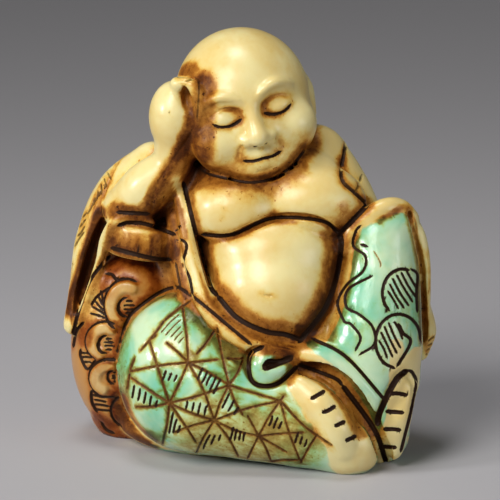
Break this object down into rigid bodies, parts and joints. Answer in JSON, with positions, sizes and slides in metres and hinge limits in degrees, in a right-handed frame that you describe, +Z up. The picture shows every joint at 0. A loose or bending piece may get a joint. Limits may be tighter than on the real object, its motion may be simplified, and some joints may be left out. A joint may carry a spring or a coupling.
{
  "type": "hotei figurine",
  "caption": "Seated hotei figurine, solid cast resin with a flat underside: a round-bellied monk with a raised knee, head leaning on his fist and a sack at his side.",
  "frame": {"origin": "middle of the figure's plan, on the flat underside", "axes": "+Z up along the figure's height; the figure faces -Y; +X is on the viewer's right, towards the raised knee"},
  "size_m": [0.0434, 0.03, 0.05],
  "materials": {
    "stained_resin": "glossy ivory-coloured resin, brown stain in the carving, thin green colour on the trousers"
  },
  "bodies": {
    "root": {"hotei_figurine": "stained_resin"}
  },
  "joints": []
}
